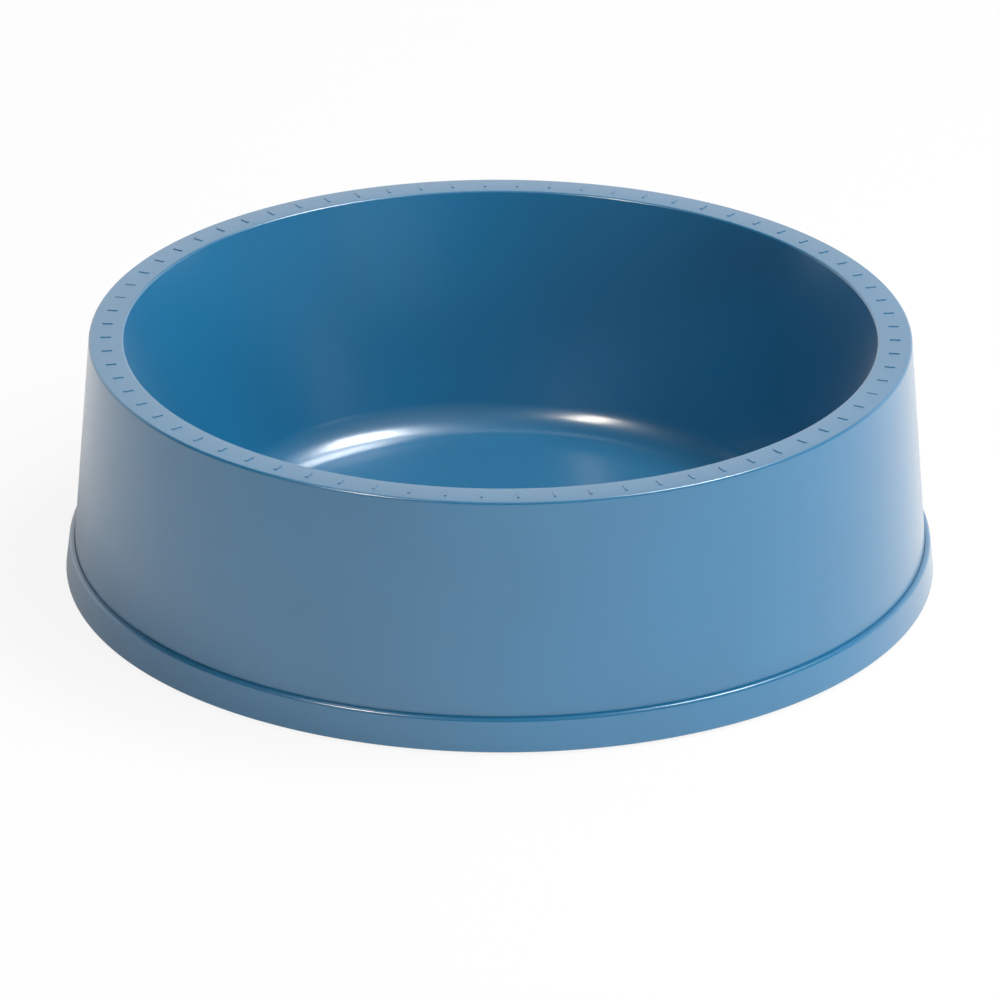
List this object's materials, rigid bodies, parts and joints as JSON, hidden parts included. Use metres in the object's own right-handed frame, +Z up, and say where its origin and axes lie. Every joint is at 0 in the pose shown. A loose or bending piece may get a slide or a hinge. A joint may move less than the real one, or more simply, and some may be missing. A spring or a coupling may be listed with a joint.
{
  "type": "pet bowl",
  "caption": "Round pet bowl with a flat rim, a wall that widens to a stepped foot, a snapped-in base ring and non-slip pads underneath.",
  "frame": {"origin": "on the ground, in the middle of the bowl's footprint", "axes": "+Z up along the bowl's axis; the bowl is round, with +X through the middle of one foot pad"},
  "size_m": [0.2104, 0.2104, 0.0604],
  "materials": {
    "shell_plastic": "satin-gloss moulded polypropylene, blue",
    "ring_plastic": "satin-gloss moulded polypropylene, the same blue",
    "pad_rubber": "matt dark grey rubber"
  },
  "bodies": {
    "root": {"bowl_shell": "shell_plastic", "base_ring": "ring_plastic", "foot_pad_1": "pad_rubber", "foot_pad_2": "pad_rubber", "foot_pad_3": "pad_rubber", "foot_pad_4": "pad_rubber", "foot_pad_5": "pad_rubber", "foot_pad_6": "pad_rubber"}
  },
  "joints": []
}
